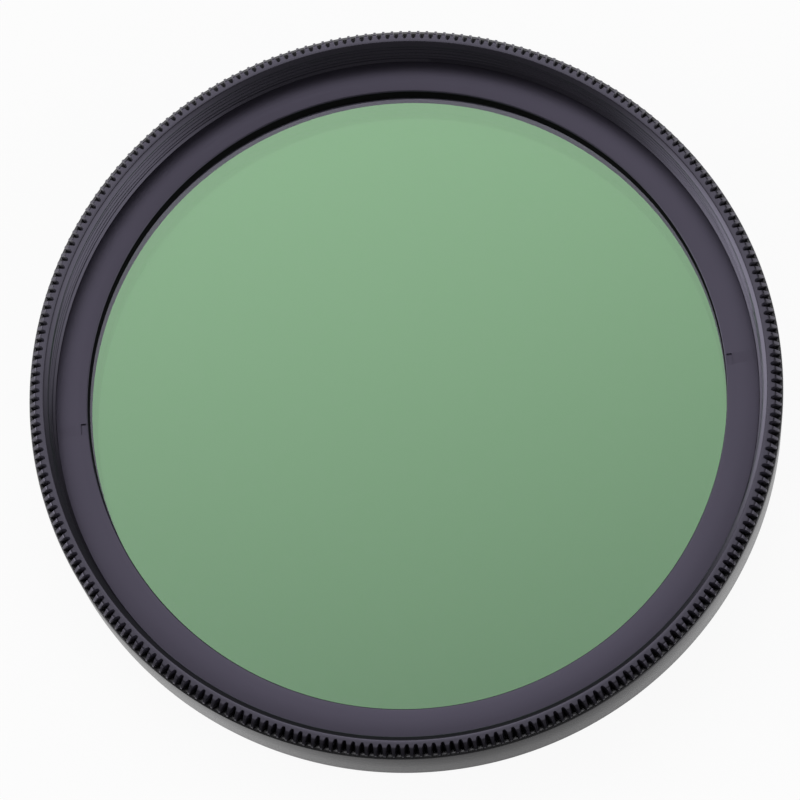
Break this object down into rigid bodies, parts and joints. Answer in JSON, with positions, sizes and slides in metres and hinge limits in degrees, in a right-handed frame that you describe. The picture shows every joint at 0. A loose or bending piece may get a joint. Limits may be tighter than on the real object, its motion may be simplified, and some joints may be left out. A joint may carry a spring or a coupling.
{
  "type": "graduated neutral density filter",
  "caption": "Round screw-in camera filter: graduated grey glass with a green coating, held in a finely knurled front ring that turns on a plain rear ring with a male lens thread.",
  "frame": {"origin": "centre of the end of the male thread, on which the filter lies", "axes": "+Z along the optical axis, out of the front face; +X and +Y across the filter, with the glass at its densest towards -Y"},
  "size_m": [0.0604, 0.0604, 0.0093],
  "materials": {
    "rear_anodised": "satin black anodised, turned",
    "front_anodised": "satin black anodised, knurled rim",
    "retainer_anodised": "matt black anodised with a violet cast",
    "coated_glass": "polished, green anti-reflection coating over graduated grey",
    "spring_steel": "drawn wire"
  },
  "bodies": {
    "rear": {"rear_ring": "rear_anodised", "retaining_wire": "spring_steel"},
    "front": {"front_ring": "front_anodised", "retaining_ring": "retainer_anodised", "filter_glass": "coated_glass"}
  },
  "joints": [
    {"name": "front_ring_turn", "type": "hinge", "parent": "rear", "child": "front", "pos_m": [0, 0, 0.0055], "axis": [0, 0, 1], "continuous": true}
  ]
}
